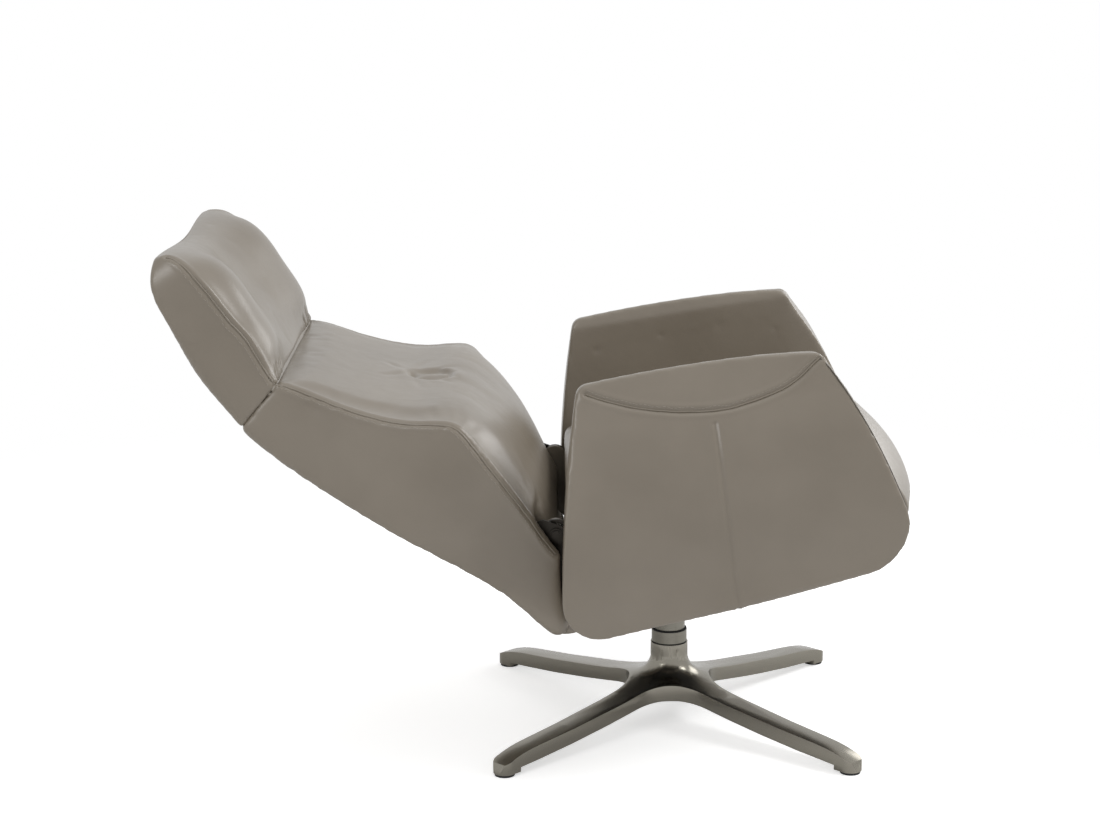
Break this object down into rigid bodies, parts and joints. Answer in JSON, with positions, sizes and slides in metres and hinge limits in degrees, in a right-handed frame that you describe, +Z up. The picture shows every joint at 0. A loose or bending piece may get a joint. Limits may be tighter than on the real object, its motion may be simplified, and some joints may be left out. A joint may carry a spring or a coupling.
{
  "type": "swivel recliner",
  "caption": "Upholstered swivel recliner with padded arms, a reclining back, a hinged headrest and a metal star base on a round column.",
  "frame": {"origin": "floor level, at the middle of the reclined chair's length and width", "axes": "+X to the front of the chair, +Y to the sitter's left, +Z up"},
  "size_m": [1.1036, 0.69, 0.7748],
  "materials": {
    "leather": "semi-matt",
    "base_metal": "polished",
    "column_metal": "brushed",
    "steel": "satin",
    "frame_paint": "satin",
    "bearing_plastic": "matt",
    "glide_plastic": "matt",
    "seal_rubber": "matt",
    "board_wood": "matt"
  },
  "bodies": {
    "base": {"base_casting": "base_metal", "glides": "glide_plastic", "glide_screws": "steel", "hub_seal": "seal_rubber", "column_sleeve": "column_metal", "collar_seal": "seal_rubber", "upper_bush": "bearing_plastic", "lower_bush": "bearing_plastic", "thrust_bearing": "bearing_plastic"},
    "swivel": {"spindle": "steel", "spindle_clip": "steel", "column_cover": "column_metal", "mechanism_housing": "frame_paint", "tilt_bushes": "bearing_plastic", "tilt_springs": "steel", "tilt_stops": "seal_rubber", "mechanism_bolts": "steel"},
    "seat": {"tilt_shaft": "steel", "shaft_clips": "steel", "seat_frame": "frame_paint", "tilt_lugs": "frame_paint", "seat_springs": "steel", "seat_cushion": "leather", "seat_front_band": "leather", "right_arm_cover": "leather", "left_arm_cover": "leather", "right_arm_pad": "leather", "left_arm_pad": "leather", "right_arm_board": "board_wood", "left_arm_board": "board_wood", "arm_spacers": "steel", "arm_bolts": "steel", "seat_hinge_plates": "frame_paint", "recline_pins": "steel", "pin_clips": "steel"},
    "back": {"hinge_washers": "bearing_plastic", "back_hinge_plates": "frame_paint", "back_bolts": "steel", "back_frame": "board_wood", "back_wires": "steel", "back_cushion": "leather", "back_shell": "leather", "headrest_lower_leaves": "steel", "headrest_pins": "steel"},
    "headrest": {"headrest_upper_leaves": "steel", "headrest_board": "board_wood", "headrest_cushion": "leather", "headrest_shell": "leather"}
  },
  "joints": [
    {"name": "swivel", "type": "hinge", "parent": "base", "child": "swivel", "pos_m": [0.195, 0, 0.2], "axis": [0, 0, 1], "continuous": true},
    {"name": "seat_tilt", "type": "hinge", "parent": "swivel", "child": "seat", "pos_m": [0.265, 0, 0.232], "axis": [0, 1, 0], "range_deg": [0, 7]},
    {"name": "back_recline", "type": "hinge", "parent": "seat", "child": "back", "pos_m": [0.01859, 0, 0.36389], "axis": [0, 1, 0], "range_deg": [0, 40]},
    {"name": "headrest_tilt", "type": "hinge", "parent": "back", "child": "headrest", "pos_m": [-0.42103, 0, 0.53369], "axis": [0, 1, 0], "range_deg": [-26, 0]}
  ],
  "couplings": [
    {"joint": "seat_tilt", "follows": "back_recline", "ratio": 0.175}
  ]
}
